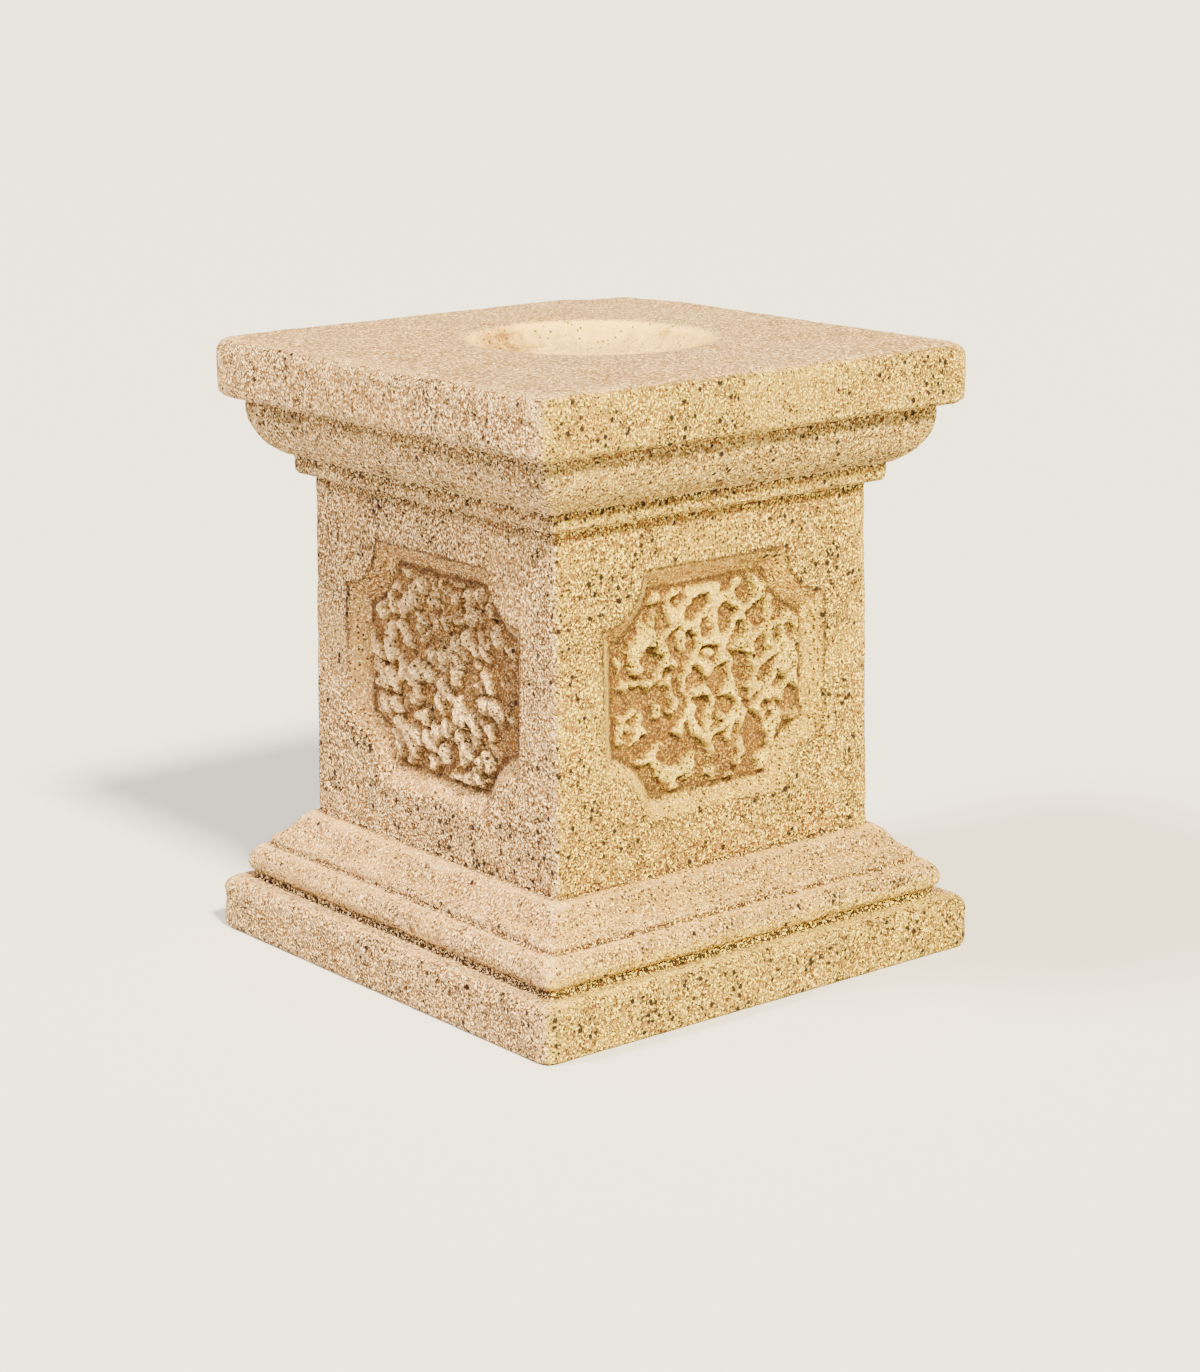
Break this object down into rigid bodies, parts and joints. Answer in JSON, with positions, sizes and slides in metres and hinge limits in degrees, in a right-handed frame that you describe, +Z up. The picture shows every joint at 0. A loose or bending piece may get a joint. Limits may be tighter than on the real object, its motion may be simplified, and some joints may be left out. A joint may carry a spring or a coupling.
{
  "type": "cast stone pedestal",
  "caption": "Square cast stone garden pedestal with moulded base and cap, sunk rough panels in its sides and a shallow round recess in the top.",
  "frame": {"origin": "centre of the underside, on the ground", "axes": "+Z up through the middle of the block; the four sides face -Y, +X, +Y and -X, and the picture shows the -Y side on the left and the +X side on the right"},
  "size_m": [0.36, 0.36, 0.4045],
  "materials": {
    "cast_stone": "rough pitted cast stone with an ochre wash in its hollows"
  },
  "bodies": {
    "root": {"pedestal": "cast_stone"}
  },
  "joints": []
}
